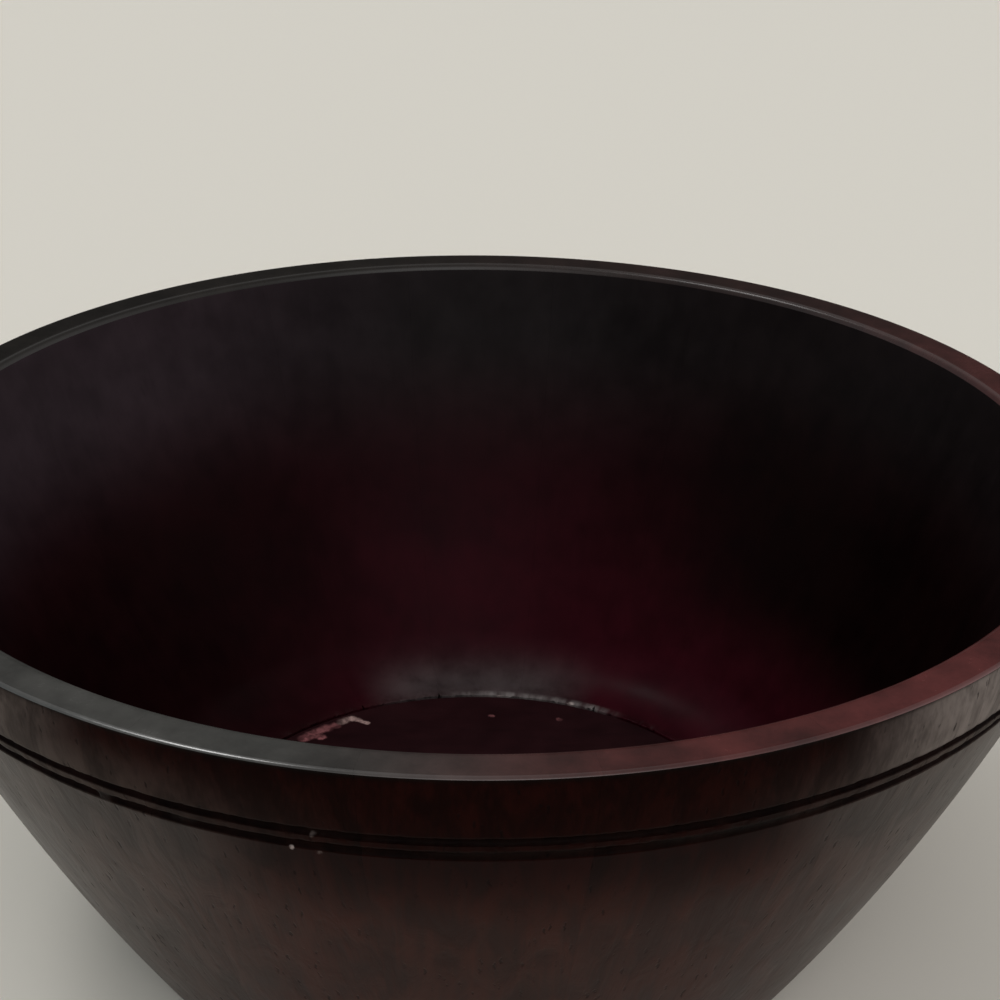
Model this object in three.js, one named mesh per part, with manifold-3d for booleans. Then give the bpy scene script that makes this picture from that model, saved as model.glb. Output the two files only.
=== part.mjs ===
// Wooden salad bowl, stave built. Mitred staves stand edge to edge in a flaring ring, and the glued ring is turned
// to one section: flat rim, lip, two grooves, bowed wall and a cove inside. A round floor board drops into a rabbet
// at the foot. Millimetres, +Z up, with the origin at the centre of the foot, where the bowl rests.
import * as THREE from "three";
import { mergeVertices, toCreasedNormals } from "three/addons/utils/BufferGeometryUtils.js";
import Module from "manifold-3d";

// Overall sizes
const rimDiameter = 340; // outside, across the lip
const bowlHeight = 140; // from the table to the top of the rim
const footDiameter = 205; // outside of the wall, at the table
const wallBulge = 3; // how far the outside bows out past a straight line from foot to grooves

// Rim and lip
const rimWidth = 10.7; // flat top of the rim
const rimOuterEase = 0.6; // rounding of the rim's outer edge
const rimInnerEase = 1.8; // rounding of the rim's inner edge
const lipHeight = 0.7; // upright edge of the lip
const lipCove = 2.1; // hollow turned under the lip

// Two grooves turned round the outside below the lip
const grooveDrop = 19.7; // from the top of the rim down to the middle of the upper groove
const grooveSpacing = 4.7; // between the middles of the two grooves
const upperGrooveWidth = 2.6;
const lowerGrooveWidth = 3.1;
const grooveDepth = 1.3;
const bandInset = 6.2; // how far the band below the lip has drawn in where it meets the lower groove
const bandBow = 0.9; // how far the band swells out past a straight line from lip to lower groove
const wallInset = 7.6; // how far in from the lip the wall starts again under the lower groove

// Staves
const staveCount = 20;
const glueLine = 0.3; // between neighbours, and round and under the floor board
const coveRadius = 26; // hollow that leads from the inner wall into the floor
const staveFootWidth = 19.5; // from the outside of the foot in to the floor board
const footEase = 1.5; // easing of the foot's two edges

// Floor board and the ledge that carries it
const boardThickness = 10;
const boardEase = 0.5; // easing of the board's edges
const ledgeHeight = 5; // the ledge's thickness, which lifts the board clear of the table
const ledgeWidth = 8; // how far the ledge reaches in under the board

// Fineness of the turned surfaces
const facetsPerStave = 4;
const wallSteps = 5;
const coveSteps = 4;
const grooveSteps = 4;
const bandSteps = 3;
const lipSteps = 3;
const easeSteps = 2;

// Sizes that follow from the ones above
const rimRadius = rimDiameter / 2;
const footRadius = footDiameter / 2;
const rimInnerRadius = rimRadius - rimWidth;
const upperGrooveHeight = bowlHeight - grooveDrop;
const lowerGrooveHeight = upperGrooveHeight - grooveSpacing;
const floorRadius = footRadius - staveFootWidth;
const floorHeight = ledgeHeight + glueLine + boardThickness;
const ledgeRadius = floorRadius - ledgeWidth;
const facetCount = staveCount * facetsPerStave;

const wasm = await Module();
wasm.setup();

// A point of the half section: distance from the bowl's axis, and height.
const at = (radius, height) => new THREE.Vector2(radius, height);

// A corner rounded over by the given reach along each of its two sides.
function eased(before, corner, after, reach) {
  const start = corner.clone().add(before.clone().sub(corner).setLength(reach));
  const end = corner.clone().add(after.clone().sub(corner).setLength(reach));
  return new THREE.QuadraticBezierCurve(start, corner, end).getPoints(easeSteps);
}

// An arc about a centre between two points, as a turner's template would run.
function arcBetween(centre, from, to, steps) {
  const start = from.clone().sub(centre);
  const turn = Math.atan2(start.cross(to.clone().sub(centre)), start.dot(to.clone().sub(centre)));
  const curve = new THREE.EllipseCurve(
    centre.x, centre.y, start.length(), start.length(),
    start.angle(), start.angle() + turn, turn < 0,
  );
  return curve.getPoints(steps);
}

// The bowed outside of the wall: radius and centre of the arc from the foot to the neck.
const foot = at(footRadius, 0);
const neck = at(rimRadius - wallInset, lowerGrooveHeight - lowerGrooveWidth / 2);
const wallChord = neck.clone().sub(foot);
const wallRadius = wallChord.lengthSq() / (8 * wallBulge) + wallBulge / 2;
const towardsHollow = at(-wallChord.y, wallChord.x).normalize();
const wallCentre = foot.clone().add(neck).multiplyScalar(0.5)
  .addScaledVector(towardsHollow, wallRadius - wallBulge);

// The inner wall bows like the outside. It runs down from the rim and is tangent to the cove.
const rimInnerCorner = at(rimInnerRadius, bowlHeight);
const coveCentre = at(floorRadius, floorHeight + coveRadius);
const towardsCove = coveCentre.clone().sub(rimInnerCorner);
const rimToCove = towardsCove.length();
towardsCove.normalize();
const alongRimToCove = (wallRadius ** 2 - (wallRadius - coveRadius) ** 2 + rimToCove ** 2) / (2 * rimToCove);
const innerCentre = rimInnerCorner.clone()
  .addScaledVector(towardsCove, alongRimToCove)
  .addScaledVector(at(towardsCove.y, -towardsCove.x), Math.sqrt(wallRadius ** 2 - alongRimToCove ** 2));
const coveTop = innerCentre.clone()
  .addScaledVector(coveCentre.clone().sub(innerCentre).normalize(), wallRadius);

// The band between the lip and the lower groove swells a little, and its radius follows from the height.
const bandTop = at(rimRadius - lipCove, bowlHeight - lipHeight - lipCove);
const bandFoot = at(rimRadius - bandInset, lowerGrooveHeight + lowerGrooveWidth / 2);
function bandAt(height) {
  const share = (height - bandFoot.y) / (bandTop.y - bandFoot.y);
  const swell = 4 * bandBow * share * (1 - share);
  return bandFoot.clone().lerp(bandTop, share).add(at(swell, 0));
}

// A round-bottomed groove, listed from its lower edge to its upper edge. The curve passes halfway to its control
// point, so that point lies at twice the depth.
function groove(lower, upper) {
  const bottom = lower.clone().add(upper).multiplyScalar(0.5).sub(at(2 * grooveDepth, 0));
  return new THREE.QuadraticBezierCurve(lower, bottom, upper).getPoints(grooveSteps);
}

// The half section that the whole ring is turned to: up the outside, over the rim and down the inside.
function wallSection() {
  const outside = arcBetween(wallCentre, foot, neck, wallSteps);
  const inside = arcBetween(innerCentre, rimInnerCorner, coveTop, wallSteps);
  const upperGrooveLower = bandAt(upperGrooveHeight - upperGrooveWidth / 2);
  const upperGrooveUpper = bandAt(upperGrooveHeight + upperGrooveWidth / 2);
  const band = Array.from({ length: bandSteps - 1 }, (_, step) => (
    bandAt(THREE.MathUtils.lerp(upperGrooveUpper.y, bandTop.y, (step + 1) / bandSteps))
  ));
  const lip = at(rimRadius, bowlHeight - lipHeight);
  const rimOuterCorner = at(rimRadius, bowlHeight);
  const underLip = at(rimRadius, bandTop.y);
  const ledgeCorner = at(ledgeRadius, 0);
  const ledgeTop = at(ledgeRadius, ledgeHeight);
  const coveToe = at(floorRadius, floorHeight);
  return [
    ...eased(ledgeTop, ledgeCorner, foot, footEase),
    ...eased(ledgeCorner, foot, outside[1], footEase),
    ...outside.slice(1, -1),
    ...groove(neck, bandFoot),
    ...groove(upperGrooveLower, upperGrooveUpper),
    ...band,
    ...arcBetween(underLip, bandTop, lip, lipSteps),
    ...eased(lip, rimOuterCorner, rimInnerCorner, rimOuterEase),
    ...eased(rimOuterCorner, rimInnerCorner, inside[1], rimInnerEase),
    ...inside.slice(1, -1),
    ...arcBetween(coveCentre, coveTop, coveToe, coveSteps),
    at(floorRadius, ledgeHeight),
    ledgeTop,
  ];
}

// Revolves a half section about the bowl's axis.
function turned(section) {
  return new THREE.LatheGeometry(section, facetCount).rotateX(Math.PI / 2);
}

function solidFrom(geometry) {
  geometry.deleteAttribute("normal");
  geometry.deleteAttribute("uv");
  const merged = mergeVertices(geometry);
  return new wasm.Manifold(new wasm.Mesh({
    numProp: 3,
    vertProperties: merged.attributes.position.array,
    triVerts: new Uint32Array(merged.index.array),
  }));
}

function geometryFrom(solid) {
  const { vertProperties, triVerts } = solid.getMesh();
  const geometry = new THREE.BufferGeometry()
    .setAttribute("position", new THREE.BufferAttribute(vertProperties, 3))
    .setIndex(new THREE.BufferAttribute(triVerts, 1));
  return toCreasedNormals(geometry);
}

// One stave is the part of the turned ring between two mitre planes, each half a glue line back from the joint.
function staveGeometry() {
  const section = wallSection();
  const ring = solidFrom(turned([...section, section[0]]));
  const halfAngle = Math.PI / staveCount;
  const apex = glueLine / 2 / Math.sin(halfAngle);
  const reach = rimDiameter;
  const sideways = reach * Math.sin(halfAngle);
  const outwards = apex + reach * Math.cos(halfAngle);
  const wedge = new THREE.Shape([at(0, -apex), at(-sideways, -outwards), at(sideways, -outwards)]);
  const blank = new THREE.ExtrudeGeometry(wedge, { depth: 2 * bowlHeight, bevelEnabled: false })
    .translate(0, 0, -bowlHeight / 2);
  return geometryFrom(ring.intersect(solidFrom(blank)));
}

// The floor board lies on the ledge, a glue line clear of the rabbet all round, level with the foot of the cove.
function boardGeometry() {
  const edge = floorRadius - glueLine;
  const underside = ledgeHeight + glueLine;
  const lowerEdge = at(edge, underside);
  const upperEdge = at(edge, floorHeight);
  const lowerCentre = at(0, underside);
  const upperCentre = at(0, floorHeight);
  return turned([
    lowerCentre,
    ...eased(lowerCentre, lowerEdge, upperEdge, boardEase),
    ...eased(lowerEdge, upperEdge, upperCentre, boardEase),
    upperCentre,
  ]);
}

const staveFinish = new THREE.MeshStandardMaterial({ color: 0x2a1816, roughness: 0.4, metalness: 0 });
const boardFinish = new THREE.MeshStandardMaterial({ color: 0x2c1416, roughness: 0.45, metalness: 0 });

const bowl = new THREE.Group();
const stave = staveGeometry();
for (let place = 0; place < staveCount; place += 1) {
  const mesh = new THREE.Mesh(stave, staveFinish);
  mesh.name = `stave_${String(place + 1).padStart(2, "0")}`;
  mesh.rotation.z = (place * 2 * Math.PI) / staveCount;
  bowl.add(mesh);
}

const board = new THREE.Mesh(boardGeometry(), boardFinish);
board.name = "floor_board";
bowl.add(board);

export default bowl;
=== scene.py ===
import math

import bpy
from mathutils import Matrix, Vector, noise


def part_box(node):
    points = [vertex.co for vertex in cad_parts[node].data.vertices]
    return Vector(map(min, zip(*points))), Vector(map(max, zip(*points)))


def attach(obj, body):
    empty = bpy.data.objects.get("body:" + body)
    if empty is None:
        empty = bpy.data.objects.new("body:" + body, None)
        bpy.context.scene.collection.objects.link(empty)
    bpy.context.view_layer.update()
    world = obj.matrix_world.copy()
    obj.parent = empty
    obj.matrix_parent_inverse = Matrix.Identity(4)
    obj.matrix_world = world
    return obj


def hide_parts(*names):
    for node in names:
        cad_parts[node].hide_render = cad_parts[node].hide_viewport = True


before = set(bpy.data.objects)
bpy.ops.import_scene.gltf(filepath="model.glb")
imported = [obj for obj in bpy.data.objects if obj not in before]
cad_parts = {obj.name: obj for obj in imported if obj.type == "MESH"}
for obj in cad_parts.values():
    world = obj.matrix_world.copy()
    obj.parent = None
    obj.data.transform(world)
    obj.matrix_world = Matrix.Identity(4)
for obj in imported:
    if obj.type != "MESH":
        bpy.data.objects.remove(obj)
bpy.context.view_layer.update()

scene = bpy.context.scene

# Staves: boards of open-grained hardwood with mitred edges, glued edge to edge into a flaring ring. The ring
# is turned on a lathe to one section, with a flat rim, a lip, two grooves, a bowed wall and a cove inside,
# then stained almost black over red-brown wood and rubbed to a satin.
stave_names = sorted(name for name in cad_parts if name.startswith("stave_"))
stave_low, stave_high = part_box(stave_names[0])
board_low, board_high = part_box("floor_board")

# Sizes of the turned section, in metres
rim_radius = -stave_low.y
bowl_height = stave_high.z
foot_radius = 0.1025
wall_bulge = 0.003  # how far the outside bows out past a straight line from foot to grooves
rim_width = 0.0107
rim_outer_ease = 0.0006  # worn facet of the rim's outer edge, measured down the lip
rim_roll = 0.0012  # the same facet, measured in over the rim
rim_flat = 0.6  # how flat that facet is, where 0 is round and 1 is straight
rim_inner_ease = 0.0018
lip_height = 0.0007
lip_cove = 0.0021
groove_drop = 0.0197  # from the top of the rim down to the middle of the upper groove
groove_spacing = 0.0047
upper_groove_width = 0.0026
lower_groove_width = 0.0031
groove_depth = 0.0013
band_inset = 0.0062  # how far in from the lip the band has drawn where it meets the lower groove
band_bow = 0.0009  # how far the band swells out past a straight line from lip to lower groove
wall_inset = 0.0076  # how far in from the lip the wall starts again under the lower groove
cove_radius = 0.026
foot_ease = 0.0015
toe_ease = 0.0005  # worn corner at the foot of the cove
ledge_width = 0.008
board_clearance = 0.0003
floor_height = board_high.z
floor_radius = board_high.x + board_clearance
ledge_height = board_low.z - board_clearance
ledge_radius = floor_radius - ledge_width
upper_groove = bowl_height - groove_drop
lower_groove = upper_groove - groove_spacing
neck = Vector((rim_radius - wall_inset, lower_groove - lower_groove_width / 2))
bead_foot = Vector((rim_radius - band_inset, lower_groove + lower_groove_width / 2))
band_top = Vector((rim_radius - lip_cove, bowl_height - lip_height - lip_cove))

# Fineness of the section
wall_steps = 48
cove_steps = 28
groove_steps = 12
lip_steps = 6
ease_steps = 6
roll_steps = 10
band_spacing = 0.0006
rim_spacing = 0.0012
neck_spacing = 0.0003


def bent(start, pull, end, steps):
    """Points of a curve from its start to its end, drawn halfway towards a point beside it."""
    shares = [step / steps for step in range(steps + 1)]
    return [start.lerp(pull, share).lerp(pull.lerp(end, share), share) for share in shares]


def eased(before, tip, after, reach, reach_after=None, flat=0.0, steps=ease_steps):
    """A corner rounded over by a reach along each of its two sides. A flat of 1 would cut it straight."""
    start = tip + (before - tip).normalized() * reach
    end = tip + (after - tip).normalized() * (reach_after or reach)
    return bent(start, tip.lerp((start + end) / 2, flat), end, steps)


def arc_between(centre, start, end, steps):
    """The shorter arc about a centre from one point of the section to another."""
    first, last = start - centre, end - centre
    turn = math.atan2(first.cross(last), first.dot(last))
    return [centre + Matrix.Rotation(turn * step / steps, 2) @ first for step in range(steps + 1)]


def straight(start, end, spacing):
    """Points along a straight run of the section, both ends left out."""
    steps = max(1, round((end - start).length / spacing))
    return [start.lerp(end, step / steps) for step in range(1, steps)]


def groove(lower, upper):
    """A round-bottomed groove from its lower edge to its upper edge."""
    pull = (lower + upper) / 2 - Vector((2 * groove_depth, 0))
    return bent(lower, pull, upper, groove_steps)


def band(low, high):
    """Points of the swelling band under the lip between two heights, both ends included."""
    points = []
    steps = max(2, round((high - low) / band_spacing))
    for step in range(steps + 1):
        height = low + (high - low) * step / steps
        share = (height - bead_foot.y) / (band_top.y - bead_foot.y)
        swell = Vector((4 * band_bow * share * (1 - share), 0))
        points.append(bead_foot.lerp(band_top, share) + swell)
    return points


def stave_section():
    """The turned section as points of radius and height, up the outside, over the rim and down the inside."""
    foot = Vector((foot_radius, 0))
    chord = neck - foot
    wall_radius = chord.length_squared / (8 * wall_bulge) + wall_bulge / 2
    inwards = Vector((-chord.y, chord.x)).normalized()
    wall_centre = (foot + neck) / 2 + inwards * (wall_radius - wall_bulge)
    outside = arc_between(wall_centre, foot, neck, wall_steps)

    # The inner wall bows like the outside, and runs into the cove without a break
    rim_inner = Vector((rim_radius - rim_width, bowl_height))
    cove_centre = Vector((floor_radius, floor_height + cove_radius))
    to_cove = cove_centre - rim_inner
    squares = wall_radius**2 - (wall_radius - cove_radius) ** 2 + to_cove.length_squared
    reach = squares / (2 * to_cove.length)
    along = to_cove.normalized()
    inner_centre = rim_inner + along * reach
    inner_centre += Vector((along.y, -along.x)) * math.sqrt(wall_radius**2 - reach**2)
    cove_top = inner_centre + (cove_centre - inner_centre).normalized() * wall_radius
    inside = arc_between(inner_centre, rim_inner, cove_top, wall_steps)

    bead = band(bead_foot.y, upper_groove - upper_groove_width / 2)
    under_lip = band(upper_groove + upper_groove_width / 2, band_top.y)
    lip = Vector((rim_radius, bowl_height - lip_height))
    rim_outer = Vector((rim_radius, bowl_height))
    toe = Vector((floor_radius, floor_height))
    rabbet = Vector((floor_radius, ledge_height))
    ledge = Vector((ledge_radius, ledge_height))
    ledge_foot = Vector((ledge_radius, 0))
    cove = arc_between(cove_centre, cove_top, toe, cove_steps)
    return [
        *eased(ledge, ledge_foot, foot, foot_ease),
        *eased(ledge_foot, foot, outside[1], foot_ease),
        *outside[1:-1],
        *straight(outside[-2], neck, neck_spacing),
        *groove(neck, bead_foot),
        *bead[1:-1],
        *groove(bead[-1], under_lip[0]),
        *under_lip[1:-1],
        *arc_between(Vector((rim_radius, band_top.y)), band_top, lip, lip_steps),
        *eased(lip, rim_outer, rim_inner, rim_outer_ease, rim_roll, rim_flat, roll_steps),
        *straight(rim_outer, rim_inner, rim_spacing)[1:-1],
        *eased(rim_outer, rim_inner, inside[1], rim_inner_ease),
        *inside[2:-1],
        *cove[:-1],
        *eased(cove[-2], toe, rabbet, toe_ease),
        rabbet,
        ledge,
    ]


def put(tree, kind, inputs=(), **settings):
    """Adds a node to a tree. Each input is a constant, or the socket of another node to take it from."""
    node = tree.nodes.new(kind)
    for name, value in settings.items():
        setattr(node, name, value)
    for key, value in dict(inputs).items():
        socket = node.inputs[key]
        if isinstance(value, bpy.types.NodeSocket):
            tree.links.new(value, socket)
        elif socket.type == "RGBA":
            socket.default_value = (*value, 1.0)
        else:
            socket.default_value = value
    return node


def calc(tree, operation, *values):
    """A Math node's result."""
    return put(tree, "ShaderNodeMath", enumerate(values), operation=operation).outputs[0]


def product(tree, first, *others):
    """Several values multiplied together."""
    for value in others:
        first = calc(tree, "MULTIPLY", first, value)
    return first


def strongest(tree, first, *others):
    """The greatest of several values. One Math node compares two of them."""
    for value in others:
        first = calc(tree, "MAXIMUM", first, value)
    return first


def ramp(tree, value, low, high, at_low=0.0, at_high=1.0):
    """Eases from one level to another as a value passes from low to high."""
    levels = {"Value": value, "From Min": low, "From Max": high, "To Min": at_low, "To Max": at_high}
    return put(tree, "ShaderNodeMapRange", levels, interpolation_type="SMOOTHSTEP").outputs[0]


def fall(tree, value, low, high):
    """Eases from 1 down to 0 as a value passes from low to high."""
    return ramp(tree, value, low, high, 1.0, 0.0)


def vector_calc(tree, operation, *vectors):
    """A Vector Math node's outputs, of which the first is a vector and "Value" is a number."""
    return put(tree, "ShaderNodeVectorMath", enumerate(vectors), operation=operation).outputs


def vector_from(tree, **axes):
    """A vector from its axes. An axis that isn't given is 0."""
    return put(tree, "ShaderNodeCombineXYZ", axes).outputs[0]


def axes_of(tree, vector):
    """A vector's axes, by name."""
    return put(tree, "ShaderNodeSeparateXYZ", {0: vector}).outputs


def speckle(tree, vector, scale, detail, distortion=0.0):
    """A noise texture's outputs, of which the first is a value that is about one half on average."""
    inputs = {"Vector": vector, "Scale": scale, "Detail": detail, "Distortion": distortion}
    return put(tree, "ShaderNodeTexNoise", inputs).outputs


def above(tree, value, limit):
    """True where a value is above a limit."""
    return put(tree, "FunctionNodeCompare", {"A": value, "B": limit}, operation="GREATER_THAN").outputs[0]


def store(tree, geometry, name, value, data_type="FLOAT", domain="POINT"):
    """Keeps a value on the mesh as a named attribute."""
    inputs = {"Geometry": geometry, "Name": name, "Value": value}
    return put(tree, "GeometryNodeStoreNamedAttribute", inputs, data_type=data_type, domain=domain).outputs[0]


def stored(tree, name):
    """A value that was kept on the mesh."""
    return put(tree, "GeometryNodeInputNamedAttribute", {"Name": name}).outputs[0]


def on_bowl(turn, radius, height):
    """A place on the bowl. The turn is in degrees from -Y, where the first stave stands, towards +X."""
    angle = math.radians(turn)
    return Vector((radius * math.sin(angle), -radius * math.cos(angle), height))


def near_turn(tree, azimuth, turn, reach, core=0.4):
    """Eases from 1 near one turn of the round to 0 at its reach, in degrees. The core's share stays at 1."""
    off = calc(tree, "COSINE", calc(tree, "SUBTRACT", azimuth, math.radians(turn)))
    return ramp(tree, off, math.cos(math.radians(reach)), math.cos(math.radians(reach * core)))


def outside_zones(tree, sideways, height, below_rim):
    """The tones of the outside: red-brown in front, darker on the upper wall, nearly black with painted shade
    under the lip, and grey with painted sheen to both sides.

    Ranges here and in the next two functions are in metres, sideways towards +X or up from the table, apart
    from shares and turns. A turn is in degrees, as on_bowl takes it.
    """
    # Painted sheen, grey, which reaches the lip only at the far ends of both flanks and thins out above the
    # foot
    left_flank, right_flank = (-0.13, -0.02), (0.05, 0.13)
    to_sides = strongest(tree, fall(tree, sideways, *left_flank), ramp(tree, sideways, *right_flank))
    flank_end = (0.6, 1.0)
    under_lip = fall(tree, height, upper_groove, band_top.y)
    under_lip = strongest(tree, under_lip, ramp(tree, to_sides, *flank_end))
    lower_wall, foot_sheen = (0.05, 0.112), 0.10
    near_foot = ramp(tree, height, *lower_wall, foot_sheen, 0.0)
    dry = strongest(tree, product(tree, to_sides, under_lip), near_foot)

    # Painted sheen, pale, on the band at both sides, weaker at the left
    pale_right, pale_left, left_share = (0.078, 0.120), (-0.125, -0.085), 0.4
    pale = ramp(tree, sideways, *pale_right)
    pale = strongest(tree, pale, ramp(tree, sideways, *pale_left, left_share, 0.0))
    pale_ease = 0.002
    pale = product(tree, pale, ramp(tree, height, upper_groove, upper_groove + pale_ease))

    # Painted shade in the hollow under the lip and in both grooves, each edge as shares of the turned size
    lip_edge, groove_edge = (0.6, 1.3), (0.44, 0.54)
    hollow_shade = fall(tree, below_rim, *(lip_height + share * lip_cove for share in lip_edge))
    for middle, width in ((upper_groove, upper_groove_width), (lower_groove, lower_groove_width)):
        off_middle = calc(tree, "ABSOLUTE", calc(tree, "SUBTRACT", height, middle))
        groove_shade = fall(tree, off_middle, *(share * width for share in groove_edge))
        hollow_shade = strongest(tree, hollow_shade, groove_shade)

    upper_wall = (0.080, 0.115)
    return {"groove": hollow_shade, "upper": ramp(tree, height, *upper_wall), "dry": dry, "pale": pale}


def inside_zones(tree, sideways, height, azimuth, above_toe):
    """The tones of the inside: painted sheen at the upper left, wine red low down, painted shade at the right
    and low left.
    """
    # Painted sheen at the upper left
    sheen_height, sheen_left = (0.05, 0.11), (-0.13, 0.0)
    hazed = product(tree, ramp(tree, height, *sheen_height), fall(tree, sideways, *sheen_left))
    wine_height, wine_right, wine_left_share = (0.03, 0.085), (-0.08, 0.0), 0.2
    wine = ramp(tree, sideways, *wine_right, wine_left_share, 1.0)
    wine = product(tree, fall(tree, height, *wine_height), wine)

    # Painted shade at the right and low left
    dim_start, dim_end, dim_rim_share, dim_right = (0.025, 0.06), (0.08, 0.13), 0.45, (0.02, 0.11)
    dim = product(tree, ramp(tree, height, *dim_start), ramp(tree, height, *dim_end, 1.0, dim_rim_share))
    dim = product(tree, dim, ramp(tree, sideways, *dim_right))
    dim_low, dim_left, dim_left_share = (0.065, 0.11), (-0.10, -0.02), 0.7
    dim_at_left = ramp(tree, sideways, *dim_left, dim_left_share, 0.0)
    dim = strongest(tree, dim, product(tree, fall(tree, height, *dim_low), dim_at_left))

    # Painted highlight low in the far cove, brightest at the seam and fading up the cove
    highlight_height, highlight_turn, highlight_reach, highlight_core = (-0.004, 0.014), 180.0, 27.0, 0.1
    near_seam = fall(tree, above_toe, *highlight_height)
    scuffed = product(tree, near_seam, near_seam, near_turn(tree, azimuth, highlight_turn, highlight_reach, highlight_core))
    deep_height = (0.070, 0.122)
    deep = fall(tree, height, *deep_height)
    return {"hazed": hazed, "deep": deep, "wine": wine, "dim": dim, "scuffed": scuffed}


def rim_zones(tree, sideways, azimuth):
    """The tones of the flat rim: painted grey sheen at the near left, and rubbed back to red at the right."""
    # From -1 at the back to 1 at the front
    towards_front = calc(tree, "COSINE", azimuth)
    rim_middle = (-0.05, 0.07)
    # Painted sheen, grey, on the near left of the rim
    grey_front = (-0.3, 0.3)
    greyed = product(tree, ramp(tree, towards_front, *grey_front), fall(tree, sideways, *rim_middle))
    red_front, red_back_share = (-1.0, 0.3), 0.12
    rubbed = ramp(tree, towards_front, *red_front, red_back_share, 1.0)
    rubbed = product(tree, rubbed, ramp(tree, sideways, *rim_middle))
    return {"greyed": greyed, "rubbed": rubbed}


# Chips knocked out of the grooves and the foot of the cove: turn, radius, height, size and how bare they are.
chips = [
    (-14.7, 0.1622, 0.1137, 0.0009, 1.0),
    (-12.5, 0.1622, 0.1133, 0.0010, 0.15),
    (-12.7, 0.1641, 0.1194, 0.0009, 0.15),
    (175.2, 0.0830, 0.0153, 0.0013, 0.6),
    (158.2, 0.0830, 0.0153, 0.0018, 0.8),
]
# Stretches where finish has run into the lower groove: turn, reach in degrees and how full it is.
filled_stretches = [(-31.4, 1.0, 0.9), (-24.0, 1.6, 0.45), (21.5, 11.0, 0.6), (3.0, 9.0, 0.5)]


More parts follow.
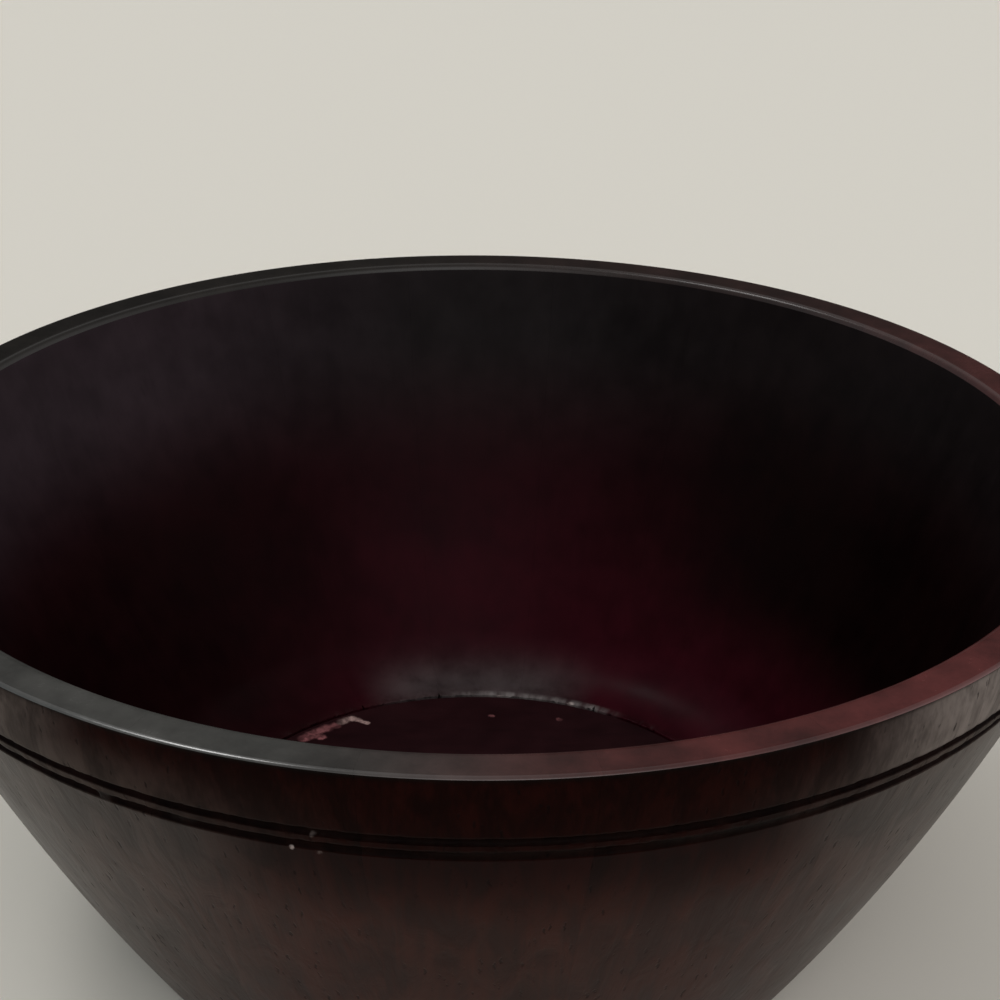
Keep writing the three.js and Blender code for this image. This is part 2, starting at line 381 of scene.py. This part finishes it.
def stave_tree():
    """Sweeps the section straight, then bends it round the bowl's axis to one stave's share of the ring."""
    tree = bpy.data.node_groups.new("turned_stave", "GeometryNodeTree")
    for name, kind in (
        ("Section", "Object"), ("Satin finish", "Material"), ("Side finish", "Material"),
        ("Rim finish", "Material"), ("Outer edge finish", "Material"), ("Inner edge finish", "Material"),
        ("Stave count", "Int"), ("Place", "Int"), ("Steps round", "Int"), ("Seed", "Int"),
        ("Glue film", "Float"), ("Lean", "Float"), ("Rim height", "Float"), ("Neck height", "Float"),
        ("Groove middle", "Float"), ("Groove reach", "Float"), ("Groove nick", "Float"),
        ("Toe radius", "Float"), ("Toe height", "Float"), ("Toe reach", "Float"), ("Toe nick", "Float"),
    ):
        tree.interface.new_socket(name=name, in_out="INPUT", socket_type="NodeSocket" + kind)
    tree.interface.new_socket(name="Stave", in_out="OUTPUT", socket_type="NodeSocketGeometry")
    given = put(tree, "NodeGroupInput").outputs

    # Straight sweep, along Y as a turn in radians, drawn back by half a glue film at both edges
    half_turn = calc(tree, "DIVIDE", math.pi, given["Stave count"])
    line = {
        "Start": vector_from(tree, Y=calc(tree, "MULTIPLY", half_turn, -1.0)),
        "End": vector_from(tree, Y=half_turn),
    }
    path = put(tree, "GeometryNodeCurvePrimitiveLine", line).outputs[0]
    path = put(tree, "GeometryNodeResampleCurve", {"Curve": path, "Count": given["Steps round"]}).outputs[0]
    section = put(tree, "GeometryNodeObjectInfo", {"Object": given["Section"]}).outputs["Geometry"]
    sweep = {"Curve": path, "Profile Curve": section, "Fill Caps": True}
    stave = put(tree, "GeometryNodeCurveToMesh", sweep).outputs[0]
    stave = put(tree, "GeometryNodeFlipFaces", {"Mesh": stave}).outputs[0]
    flat = axes_of(tree, put(tree, "GeometryNodeInputPosition").outputs[0])
    radius, height = flat["X"], flat["Z"]
    film_share = calc(tree, "DIVIDE", given["Glue film"], calc(tree, "MULTIPLY", radius, 2.0))
    keep = calc(tree, "SUBTRACT", 1.0, calc(tree, "DIVIDE", film_share, half_turn))
    turn = product(tree, flat["Y"], keep)
    stave_turn = product(tree, given["Place"], calc(tree, "MULTIPLY", half_turn, 2.0))
    azimuth = calc(tree, "ADD", turn, stave_turn)

    # Grain, along the stave, with each stave cut from another part of the log
    across = product(tree, radius, calc(tree, "SINE", turn))
    out = product(tree, radius, calc(tree, "COSINE", turn))
    leaning = {"Vector": vector_from(tree, X=across, Y=out, Z=height), "Angle": given["Lean"]}
    along_grain = put(tree, "ShaderNodeVectorRotate", leaning, rotation_type="X_AXIS").outputs[0]
    log_size = (9.0, 9.0, 9.0)
    cut = {"Min": (0.0, 0.0, 0.0), "Max": log_size, "ID": given["Place"], "Seed": given["Seed"]}
    log_place = put(tree, "FunctionNodeRandomValue", cut, data_type="FLOAT_VECTOR").outputs[0]
    wood = vector_calc(tree, "ADD", along_grain, log_place)[0]
    stave = store(tree, stave, "wood", wood, "FLOAT_VECTOR")

    # Parts of the section, by the way that they face in their own plane
    normal = axes_of(tree, put(tree, "GeometryNodeInputNormal").outputs[0])
    in_plane = vector_from(tree, X=normal["X"], Z=normal["Z"])
    facing = axes_of(tree, vector_calc(tree, "NORMALIZE", in_plane)[0])
    turned_inwards, turned_up, off_flat = (-0.3, 0.3), (0.1, 0.4), (0.96, 0.995)
    hollow = fall(tree, facing["X"], *turned_inwards)
    outside = calc(tree, "SUBTRACT", 1.0, hollow)
    below_rim = calc(tree, "SUBTRACT", given["Rim height"], height)
    above_toe = calc(tree, "SUBTRACT", height, given["Toe height"])
    land_depth, edge_depth = (0.002, 0.003), (0.0014, 0.0018)
    land = product(tree, ramp(tree, facing["Z"], *turned_up), fall(tree, below_rim, *land_depth))
    edge = product(tree, land, fall(tree, facing["Z"], *off_flat), fall(tree, below_rim, *edge_depth))

    # Zones of the finish
    sideways = product(tree, radius, calc(tree, "SINE", azimuth))
    zones = {
        "hollow": hollow,
        "land": land,
        "outer_edge": product(tree, edge, calc(tree, "GREATER_THAN", facing["X"], 0.0)),
        "inner_edge": product(tree, edge, calc(tree, "LESS_THAN", facing["X"], 0.0)),
        "side": product(tree, outside, calc(tree, "LESS_THAN", height, given["Neck height"])),
        **rim_zones(tree, sideways, azimuth),
    }
    for zone, share in outside_zones(tree, sideways, height, below_rim).items():
        zones[zone] = product(tree, outside, share)
    for zone, share in inside_zones(tree, sideways, height, azimuth, above_toe).items():
        zones[zone] = product(tree, hollow, share)
    for zone, share in zones.items():
        stave = store(tree, stave, zone, share)

    # Depth of the nicks along the grooves and along the foot of the cove. The fades are shares of their reach.
    groove_fade, toe_fade = (0.7, 1.0), (0.2, 1.0)
    off_groove = calc(tree, "ABSOLUTE", calc(tree, "SUBTRACT", height, given["Groove middle"]))
    by_groove = fall(tree, calc(tree, "DIVIDE", off_groove, given["Groove reach"]), *groove_fade)
    off_toe = vector_from(tree, X=calc(tree, "SUBTRACT", radius, given["Toe radius"]), Y=above_toe)
    toe_distance = vector_calc(tree, "LENGTH", off_toe)["Value"]
    by_toe = fall(tree, calc(tree, "DIVIDE", toe_distance, given["Toe reach"]), *toe_fade)
    groove_nicks = product(tree, by_groove, outside, given["Groove nick"])
    toe_nicks = product(tree, by_toe, given["Toe nick"])
    stave = store(tree, stave, "nick_depth", calc(tree, "ADD", groove_nicks, toe_nicks))

    # Bare fibres with a painted glint where the far foot of the cove is worn ragged, in short lengths along
    # the seam
    fray_turn, fray_reach, fray_width = 167.0, 22.0, (0.0008, 0.0030)
    fray_lengths, fray_least = (0.35, 0.65), 0.15
    lengths = speckle(tree, vector_from(tree, X=azimuth), scale=26.0, detail=3.0)[0]
    frayed = near_turn(tree, azimuth, fray_turn, fray_reach)
    frayed = product(tree, frayed, ramp(tree, lengths, *fray_lengths, fray_least, 1.0))
    frayed = product(tree, frayed, fall(tree, toe_distance, *fray_width))
    stave = store(tree, stave, "frayed", frayed)

    # Bend round the axis, with the lower groove filled up to its chord where finish has run into it
    chord_line = {
        "Value": height,
        "From Min": neck.y,
        "From Max": bead_foot.y,
        "To Min": neck.x,
        "To Max": bead_foot.x,
    }
    chord = put(tree, "ShaderNodeMapRange", chord_line).outputs[0]
    in_groove = calc(tree, "GREATER_THAN", radius, neck.x - 2 * groove_depth)
    for limit, side in ((neck.y, "GREATER_THAN"), (bead_foot.y, "LESS_THAN")):
        in_groove = product(tree, in_groove, calc(tree, side, height, limit))
    filled = 0.0
    for middle, reach, share in filled_stretches:
        filled = strongest(tree, filled, product(tree, near_turn(tree, azimuth, middle, reach), share))
    rise = product(tree, calc(tree, "SUBTRACT", chord, radius), filled, in_groove)
    worn_radius = calc(tree, "ADD", radius, rise)
    to_front = calc(tree, "MULTIPLY", calc(tree, "COSINE", azimuth), -1.0)
    bent_place = vector_from(
        tree,
        X=product(tree, worn_radius, calc(tree, "SINE", azimuth)),
        Y=product(tree, worn_radius, to_front),
        Z=height,
    )
    stave = put(tree, "GeometryNodeSetPosition", {"Geometry": stave, "Position": bent_place}).outputs[0]

    # Nicks, longer along the grain, and chips, all pressed in along the normal
    now = put(tree, "GeometryNodeInputPosition").outputs[0]
    nick_stretch, nick_range = (1.0, 1.0, 0.4), (0.44, 0.68)
    long_grain = vector_calc(tree, "MULTIPLY", now, nick_stretch)[0]
    nicked = ramp(tree, speckle(tree, long_grain, scale=330.0, detail=3.0)[0], *nick_range)
    depth = product(tree, stored(tree, "nick_depth"), nicked)
    chip_floor, chip_depth = 0.3, 0.35
    for *spot, size, _ in chips:
        off = vector_calc(tree, "DISTANCE", now, on_bowl(*spot))["Value"]
        depth = strongest(tree, depth, ramp(tree, off, chip_floor * size, size, chip_depth * size, 0.0))
    outwards = put(tree, "GeometryNodeInputNormal").outputs[0]
    pressed = {0: outwards, "Scale": calc(tree, "MULTIPLY", depth, -1.0)}
    dent = put(tree, "ShaderNodeVectorMath", pressed, operation="SCALE").outputs[0]
    stave = put(tree, "GeometryNodeSetPosition", {"Geometry": stave, "Offset": dent}).outputs[0]

    # Crisp mitred edges and corners, and the finishes
    crisp_angle = math.radians(72)
    edge_angle = put(tree, "GeometryNodeInputMeshEdgeAngle").outputs["Unsigned Angle"]
    stave = store(tree, stave, "sharp_edge", above(tree, edge_angle, crisp_angle), "BOOLEAN", "EDGE")
    stave = put(tree, "GeometryNodeSetShadeSmooth", {"Geometry": stave}).outputs[0]
    stave = put(tree, "GeometryNodeRealizeInstances", {"Geometry": stave}).outputs[0]
    satin = {"Geometry": stave, "Material": given["Satin finish"]}
    stave = put(tree, "GeometryNodeSetMaterial", satin).outputs[0]
    for zone, finish in (
        ("side", "Side finish"), ("land", "Rim finish"),
        ("outer_edge", "Outer edge finish"), ("inner_edge", "Inner edge finish"),
    ):
        mostly_there = above(tree, stored(tree, zone), 0.5)
        inputs = {"Geometry": stave, "Selection": mostly_there, "Material": given[finish]}
        stave = put(tree, "GeometryNodeSetMaterial", inputs).outputs[0]
    put(tree, "NodeGroupOutput", {"Stave": stave})
    return tree


def mixed(tree, share, first, second):
    """The second colour laid over the first. A Mix node's colours are its sockets 6 and 7."""
    return put(tree, "ShaderNodeMix", {0: share, 6: first, 7: second}, data_type="RGBA").outputs[2]


def stained_wood(name, tones, shine, roughness, marks=(), smoothed=0.0, duller=0.0):
    """Dark stain over open-grained wood: streaks and pores along the grain, and a finish worn in patches.

    Each tone is a zone with its dark and its warm colour, laid over the tones before it. None is the ground.
    Each mark is a spot with its size, its colour and how much of that colour shows. Smoothed wood shows fewer
    of its pores. Duller is how much rougher the finish is on the front of the upper wall. A zone that the
    piece doesn't have counts as 0.
    """
    material = bpy.data.materials.new(name)
    material.use_nodes = True
    tree = material.node_tree
    shader = tree.nodes["Principled BSDF"]
    shader.inputs["Specular IOR Level"].default_value = shine
    wood = put(tree, "ShaderNodeAttribute", attribute_name="wood").outputs["Vector"]
    place = put(tree, "ShaderNodeTexCoord").outputs["Object"]

    def zone_share(zone):
        """How far a zone that is kept on the mesh shows here."""
        return put(tree, "ShaderNodeAttribute", attribute_name=zone).outputs["Fac"]

    def drawn_out(vector, share):
        """Coordinates in which a pattern runs long along the grain, longer for a smaller share."""
        return put(tree, "ShaderNodeMapping", {"Vector": vector, "Scale": (1.0, 1.0, share)}).outputs[0]

    def weighted(*parts):
        """The sum of several values, each times its weight."""
        total = 0.0
        for value, weight in parts:
            inputs = {0: value, 1: weight, 2: total}
            total = put(tree, "ShaderNodeMath", inputs, operation="MULTIPLY_ADD").outputs[0]
        return total

    # Patterns: fine fibres, figure and smudges drawn out along the grain, and clouds that don't follow it
    fibre = speckle(tree, drawn_out(wood, share=0.045), scale=900.0, detail=3.0)[0]
    figure = speckle(tree, drawn_out(wood, share=0.12), scale=80.0, detail=3.0, distortion=0.4)[0]
    smudges = speckle(tree, drawn_out(wood, share=0.4), scale=130.0, detail=4.0, distortion=0.8)[0]
    patches = speckle(tree, place, scale=32.0, detail=3.0)[0]
    blotches = speckle(tree, place, scale=110.0, detail=4.0)[0]
    wander = speckle(tree, place, scale=420.0, detail=2.0)["Color"]
    stray = Vector((0.0016, 0.0016, 0.0016))

    def strayed(vector):
        """Coordinates in which straight outlines turn ragged."""
        return vector_calc(tree, "MULTIPLY_ADD", wander, stray, vector)[0]

    # Pores: short dark strokes along the grain, in some of the cells and some of the patches
    pore_width, chosen_cells, porous_patches = (0.12, 0.32), (0.5, 0.8), (0.36, 0.58)
    pore_cells = {"Vector": drawn_out(strayed(wood), share=0.24), "Scale": 620.0}
    cells = put(tree, "ShaderNodeTexVoronoi", pore_cells).outputs
    cell_number = put(tree, "ShaderNodeSeparateColor", {0: cells["Color"]}).outputs[0]
    pore = product(tree, fall(tree, cells["Distance"], *pore_width), ramp(tree, cell_number, *chosen_cells))
    pore = product(tree, pore, ramp(tree, patches, *porous_patches))
    hollow_smoothed = 0.85
    smooth = strongest(tree, smoothed, product(tree, zone_share("hollow"), hollow_smoothed))
    open_grain = calc(tree, "SUBTRACT", 1.0, smooth)
    pore = product(tree, pore, open_grain)

    # Colour, with the grain counted from its average so that smoothed wood keeps its depth
    grain_parts = ((fibre, 0.8), (figure, 0.5), (smudges, 1.6))
    grain_average = sum(weight for _, weight in grain_parts) / 2
    grain = product(tree, calc(tree, "SUBTRACT", weighted(*grain_parts), grain_average), open_grain)
    streak_range = (0.25, 1.05)
    streak = ramp(tree, weighted((grain, 1.0), (patches, 0.7), (blotches, 0.6)), *streak_range)
    colour = mixed(tree, streak, *tones[None])
    for zone, tone in tones.items():
        if zone:
            colour = mixed(tree, zone_share(zone), colour, mixed(tree, streak, *tone))
    pore_share, pore_colour = 0.6, (0.002, 0.0012, 0.0012)
    colour = mixed(tree, product(tree, pore, pore_share), colour, pore_colour)

    # Marks, with torn outlines. Straying moves a spot by half its reach on average.
    torn_range, torn_least, mark_core = (0.38, 0.60), 0.35, 0.4
    ragged = strayed(place)
    torn = ramp(tree, speckle(tree, place, scale=380.0, detail=3.0)[0], *torn_range, torn_least, 1.0)
    for spot, size, bare, share in marks:
        off = vector_calc(tree, "DISTANCE", ragged, spot + stray / 2)["Value"]
        shown = product(tree, ramp(tree, off, mark_core * size, size, share, 0.0), torn)
        colour = mixed(tree, shown, colour, bare)
    tree.links.new(colour, shader.inputs["Base Color"])

    # Roughness, which these parts raise by their average on open-grained wood without pores
    dull_parts = ((fibre, 0.10), (patches, 0.16), (blotches, 0.12), (pore, 0.12), (open_grain, 0.10))
    dull_average = 0.29
    # The front of the upper wall turns duller where the painted sheen of the flanks fades
    flank_sheen_range = (0.05, 0.40)
    upper_front = product(tree, zone_share("upper"), fall(tree, zone_share("dry"), *flank_sheen_range))
    dulled = weighted(*dull_parts, (upper_front, duller))
    tree.links.new(calc(tree, "ADD", dulled, roughness - dull_average), shader.inputs["Roughness"])

    relief = weighted((fibre, 0.5), (pore, -1.0), (patches, 0.8), (smudges, 3.0))
    relief = product(tree, relief, open_grain)
    bump = put(tree, "ShaderNodeBump", {"Height": relief, "Strength": 0.25, "Distance": 0.0004}).outputs[0]
    tree.links.new(bump, shader.inputs["Normal"])
    return material


def nodes_piece(name, tree, values):
    """Evaluates a Geometry Nodes tree with the given inputs and keeps the result as a plain mesh object."""
    carrier = bpy.data.objects.new(name + "_nodes", bpy.data.meshes.new(name))
    scene.collection.objects.link(carrier)
    modifier = carrier.modifiers.new("shape", "NODES")
    modifier.node_group = tree
    for item in tree.interface.items_tree:
        if item.in_out == "INPUT":
            modifier[item.identifier] = values[item.name]
    evaluated = carrier.evaluated_get(bpy.context.evaluated_depsgraph_get())
    mesh = bpy.data.meshes.new_from_object(evaluated)
    mesh.name = name
    bpy.data.objects.remove(carrier)
    piece = bpy.data.objects.new(name, mesh)
    scene.collection.objects.link(piece)
    return piece


section_curve = bpy.data.curves.new("stave_section", "CURVE")
section_curve.dimensions = "3D"
section_points = stave_section()
spline = section_curve.splines.new("POLY")
spline.points.add(len(section_points) - 1)
spline.use_cyclic_u = True
for point, corner in zip(spline.points, section_points):
    point.co = (corner.x, -corner.y, 0.0, 1.0)
section_object = bpy.data.objects.new("stave_section", section_curve)
scene.collection.objects.link(section_object)

# Tones of the stain, dark and warm, by zone. Some zones are painted shade, painted sheen or painted
# highlights, as marked.
wall_tones = {
    None: ((0.016, 0.0028, 0.0013), (0.034, 0.0060, 0.0028)),
    "upper": ((0.005, 0.0008, 0.0005), (0.012, 0.0018, 0.0012)),
    # Painted sheen, grey, on both flanks and a little above the foot
    "dry": ((0.028, 0.0200, 0.0172), (0.064, 0.0485, 0.0420)),
    # Painted sheen on the band at both sides
    "pale": ((0.090, 0.0750, 0.0690), (0.180, 0.1530, 0.1420)),
    # Painted shade under the lip and in both grooves
    "groove": ((0.003, 0.0012, 0.0010), (0.007, 0.0024, 0.0018)),
    # The inside's ground, whose grey stands partly for painted sheen
    "hollow": ((0.007, 0.0056, 0.0058), (0.015, 0.0122, 0.0126)),
    # Painted sheen at the upper left of the inside
    "hazed": ((0.018, 0.0122, 0.0148), (0.034, 0.0236, 0.0284)),
    "deep": ((0.009, 0.0016, 0.0026), (0.019, 0.0034, 0.0052)),
    "wine": ((0.017, 0.0018, 0.0038), (0.034, 0.0036, 0.0072)),
    # Painted shade inside at the right and low left
    "dim": ((0.002, 0.0006, 0.0006), (0.005, 0.0013, 0.0012)),
    # Painted highlight low in the far cove
    "scuffed": ((0.022, 0.0195, 0.0195), (0.092, 0.0830, 0.0830)),
    # Bare fibres along the far seam, with a painted glint
    "frayed": ((0.090, 0.0780, 0.0780), (0.240, 0.2150, 0.2100)),
}
rim_tones = {
    None: ((0.004, 0.0030, 0.0022), (0.011, 0.0085, 0.0066)),
    # Painted sheen, grey, at the near left of the rim
    "greyed": ((0.020, 0.0196, 0.0180), (0.066, 0.0650, 0.0600)),
    "rubbed": ((0.028, 0.0072, 0.0068), (0.112, 0.0270, 0.0255)),
}

# Five finishes, because the shine of a finish is one number all over: satin inside and on the band, glossier
# on the side below the grooves, and the flat rim with its two edges, which hands have polished.
# Pale bare wood, which also stands for painted glints on the broken edges of the chips
bare_wood_and_glint = (0.46, 0.38, 0.36)
chip_marks = [(on_bowl(*spot), size, bare_wood_and_glint, share) for *spot, size, share in chips]
rim_smoothed = 0.85
satin_finish = stained_wood("satin_finish", wall_tones, shine=0.02, roughness=0.42, marks=chip_marks)
side_finish = stained_wood(
    "side_finish", wall_tones, shine=0.10, roughness=0.34, marks=chip_marks, duller=0.5,
)
rim_finish = stained_wood("rim_finish", rim_tones, shine=0.08, roughness=0.32, smoothed=rim_smoothed)
outer_edge_finish = stained_wood(
    "outer_edge_finish", rim_tones, shine=0.60, roughness=0.22, smoothed=rim_smoothed,
)
inner_edge_finish = stained_wood(
    "inner_edge_finish", rim_tones, shine=0.30, roughness=0.34, smoothed=rim_smoothed,
)
stave_shape = stave_tree()
stave_inputs = {
    "Section": section_object,
    "Satin finish": satin_finish,
    "Side finish": side_finish,
    "Rim finish": rim_finish,
    "Outer edge finish": outer_edge_finish,
    "Inner edge finish": inner_edge_finish,
    "Stave count": len(stave_names),
    "Steps round": 81,
    "Seed": 7,
    "Glue film": 0.00002,
    "Lean": math.atan2(rim_radius - wall_inset - foot_radius, bowl_height - groove_drop),
    "Rim height": bowl_height,
    "Neck height": neck.y,
    "Groove middle": (upper_groove + lower_groove) / 2,
    "Groove reach": 0.0048,
    "Groove nick": 0.00018,
    "Toe radius": floor_radius,
    "Toe height": floor_height,
    "Toe reach": 0.0022,
    "Toe nick": 0.0009,
}
for place, name in enumerate(stave_names):
    stave = nodes_piece(name + "_wood", stave_shape, {**stave_inputs, "Place": place})
    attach(stave, "root")
    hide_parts(name)
bpy.data.objects.remove(section_object)

# Floor board: one round board of the same wood with its grain running from side to side. It drops into the
# rabbet from inside, lies on the ledge of the staves and is glued there. Its edge is worn and splintered.
board_ease = 0.0006
board_wear = 0.0005  # how far its top has worn down below the foot of the cove
board_edge = board_high.x
board_top = floor_height - board_wear
board_steps = 640
splintered_width = 0.016  # ring along the edge that is finely divided for the splinters
splintered_start = 0.001  # from the edge in to that ring
splinter_depth = 0.22  # as a share of a splinter's size
splinter_floor = 0.6  # depth that all of a splinter has, to which its roughness is added
splinter_roughness = 700.0
# Splintered spots of the board's top: turn, radius, size and how bare they are. The slivers broke out last.
splinters = [
    (-134.4, 0.0788, 0.0026, 0.55),
    (-136.4, 0.0786, 0.0032, 0.75),
    (-137.8, 0.0757, 0.0022, 0.90),
    (-139.0, 0.0790, 0.0026, 0.65),
    (-141.2, 0.0789, 0.0028, 0.60),
    (-143.6, 0.0785, 0.0024, 0.55),
    (176.3, 0.0700, 0.0014, 0.50),
    (158.7, 0.0729, 0.0014, 0.35),
]
slivers = [
    (-146.0, 0.0794, 0.0024, 0.40),
    (-147.4, 0.0797, 0.0022, 0.60),
    (-148.4, 0.0796, 0.0020, 0.80),
    (-149.0, 0.0786, 0.0017, 1.00),
    (-149.5, 0.0776, 0.0016, 1.00),
    (-150.0, 0.0765, 0.0015, 0.90),
    (-150.4, 0.0754, 0.0014, 0.80),
    (-150.8, 0.0743, 0.0012, 0.70),
]
lower_centre = Vector((0, board_low.z))
lower_edge = Vector((board_edge, board_low.z))
upper_edge = Vector((board_edge, board_top))
upper_centre = Vector((0, board_top))
fine_start = Vector((board_edge - splintered_start, board_top))
fine_end = Vector((board_edge - splintered_width, board_top))
under_spacing = 0.006
edge_spacing = 0.0015
fine_spacing = 0.0006
middle_spacing = 0.005
board_outline = [
    lower_centre,
    *straight(lower_centre, lower_edge, under_spacing),
    *eased(lower_centre, lower_edge, upper_edge, board_ease),
    *straight(lower_edge, upper_edge, edge_spacing)[1:-1],
    *eased(lower_edge, upper_edge, upper_centre, board_ease),
    *straight(fine_start, fine_end, fine_spacing),
    *straight(fine_end, upper_centre, middle_spacing),
    upper_centre,
]


def turned_mesh(name, outline, steps):
    """A solid of revolution from an outline that starts and ends on the axis."""
    ring = outline[1:-1]
    vertices = [(0, 0, outline[0].y), (0, 0, outline[-1].y)]
    ring_start = len(vertices)
    for point in ring:
        for step in range(steps):
            turn = 2 * math.pi * step / steps
            vertices.append((point.x * math.sin(turn), -point.x * math.cos(turn), point.y))
    faces = []
    for step in range(steps):
        after = (step + 1) % steps
        faces.append((0, ring_start + after, ring_start + step))
        for level in range(len(ring) - 1):
            low = ring_start + level * steps
            high = low + steps
            faces.append((low + step, low + after, high + after, high + step))
        top = ring_start + (len(ring) - 1) * steps
        faces.append((1, top + step, top + after))
    mesh = bpy.data.meshes.new(name)
    mesh.from_pydata(vertices, [], faces)
    mesh.shade_smooth()
    return mesh


board_mesh = turned_mesh("floor_board_wood", board_outline, board_steps)
board_grain = board_mesh.attributes.new("wood", "FLOAT_VECTOR", "POINT")
for vertex, value in zip(board_mesh.vertices, board_grain.data):
    value.vector = (vertex.co.y, vertex.co.z, vertex.co.x)
splinter_marks = []
raw_wood = (0.27, 0.10, 0.105)
fresh_wood = (0.42, 0.28, 0.26)
for bare, spots in ((raw_wood, splinters), (fresh_wood, slivers)):
    for turn, radius, size, share in spots:
        spot = on_bowl(turn, radius, board_top)
        splinter_marks.append((spot, size, bare, share))
        for vertex in board_mesh.vertices:
            off = (vertex.co - spot).length / size
            if off < 1.0:
                torn = splinter_floor + noise.noise(vertex.co * splinter_roughness)
                vertex.co.z -= splinter_depth * size * (1.0 - off) * torn
board_tones = {None: ((0.009, 0.0024, 0.0032), (0.019, 0.0048, 0.0062))}
board_finish = stained_wood(
    "board_finish", board_tones, shine=0.05, roughness=0.55, marks=splinter_marks, smoothed=0.7,
)
board_mesh.materials.append(board_finish)
board = bpy.data.objects.new("floor_board_wood", board_mesh)
scene.collection.objects.link(board)
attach(board, "root")
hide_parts("floor_board")

# Table: a plain pale surface that the foot of the bowl stands on, wide enough to fill every view.
# It has a matt finish, which mirrors nothing.
table_reach = 8.0
table_colour = (0.74, 0.715, 0.65, 1.0)
table_corners = [(-1, -1), (1, -1), (1, 1), (-1, 1)]
table_places = [(x * table_reach, y * table_reach, 0) for x, y in table_corners]
table_mesh = bpy.data.meshes.new("table")
table_mesh.from_pydata(table_places, [], [(0, 1, 2, 3)])
table_finish = bpy.data.materials.new("table_finish")
table_finish.use_nodes = True
table_shader = table_finish.node_tree.nodes["Principled BSDF"]
table_shader.inputs["Base Color"].default_value = table_colour
table_shader.inputs["Roughness"].default_value = 0.8
table_shader.inputs["Specular IOR Level"].default_value = 0.0
table_mesh.materials.append(table_finish)
table = bpy.data.objects.new("table", table_mesh)
scene.collection.objects.link(table)

# Light: a dim surround with soft panels. A broad one stands in front, a small bright one hangs high at the
# left with a broad one round it, one behind is cut off low down, and one stands at each side. Each has a
# heading from +Y towards +X, a height above the table, a sharpness, a lowest height, if any, and a colour.
surround_level = 0.06
panels = [
    (172, 42, 10, None, (2.20, 2.16, 2.14)),
    (-64, 65, 200, None, (18.0, 17.8, 17.6)),
    (-60, 72, 12, None, (0.55, 0.54, 0.53)),
    (-12, 42, 10, 28, (0.60, 0.59, 0.58)),
    (85, 20, 5, None, (1.15, 1.11, 1.09)),
    (-90, 22, 5, None, (0.62, 0.69, 0.71)),
]
cut_softness = 4  # degrees over which a lowest height fades, up and down
world = bpy.data.worlds.new("surround")
scene.world = world
world.use_nodes = True
sky = world.node_tree
direction = put(sky, "ShaderNodeTexCoord").outputs["Generated"]
height_above = axes_of(sky, direction)["Z"]
light = vector_from(sky, X=surround_level, Y=surround_level, Z=surround_level)
for heading, height, sharpness, lowest, colour in panels:
    across, up = math.radians(heading), math.radians(height)
    middle = Vector((math.sin(across) * math.cos(up), math.cos(across) * math.cos(up), math.sin(up)))
    towards = vector_calc(sky, "DOT_PRODUCT", direction, middle)["Value"]
    glow = calc(sky, "EXPONENT", calc(sky, "MULTIPLY", calc(sky, "SUBTRACT", towards, 1.0), sharpness))
    if lowest is not None:
        cut = [math.sin(math.radians(lowest + soft)) for soft in (-cut_softness, cut_softness)]
        glow = product(sky, glow, ramp(sky, height_above, *cut))
    light = vector_calc(sky, "MULTIPLY_ADD", glow, colour, light)[0]
sky.links.new(light, sky.nodes["Background"].inputs["Color"])

# Camera: a long lens in front of the bowl, looking down over the near rim at the far wall and the floor.
# It was fitted to the rim, the grooves, the wall's outlines and the floor seam.
camera_data = bpy.data.cameras.new("camera")
camera_data.sensor_width = 36.0
camera_data.lens = 82.8
camera_data.clip_start = 0.05
camera_data.clip_end = 50.0
camera_place = Vector((0, -0.585412, 0.398247))
pitch, yaw, roll = math.radians(24.968), math.radians(0.560), math.radians(-0.564)
forward = Vector((math.sin(yaw) * math.cos(pitch), math.cos(yaw) * math.cos(pitch), -math.sin(pitch)))
level = forward.cross(Vector((0, 0, 1))).normalized()
right = Matrix.Rotation(roll, 3, forward) @ level
camera = bpy.data.objects.new("camera", camera_data)
facing = Matrix((right, right.cross(forward), -forward)).transposed()
camera.matrix_world = Matrix.Translation(camera_place) @ facing.to_4x4()
scene.collection.objects.link(camera)
scene.camera = camera
scene.view_settings.view_transform = "Standard"
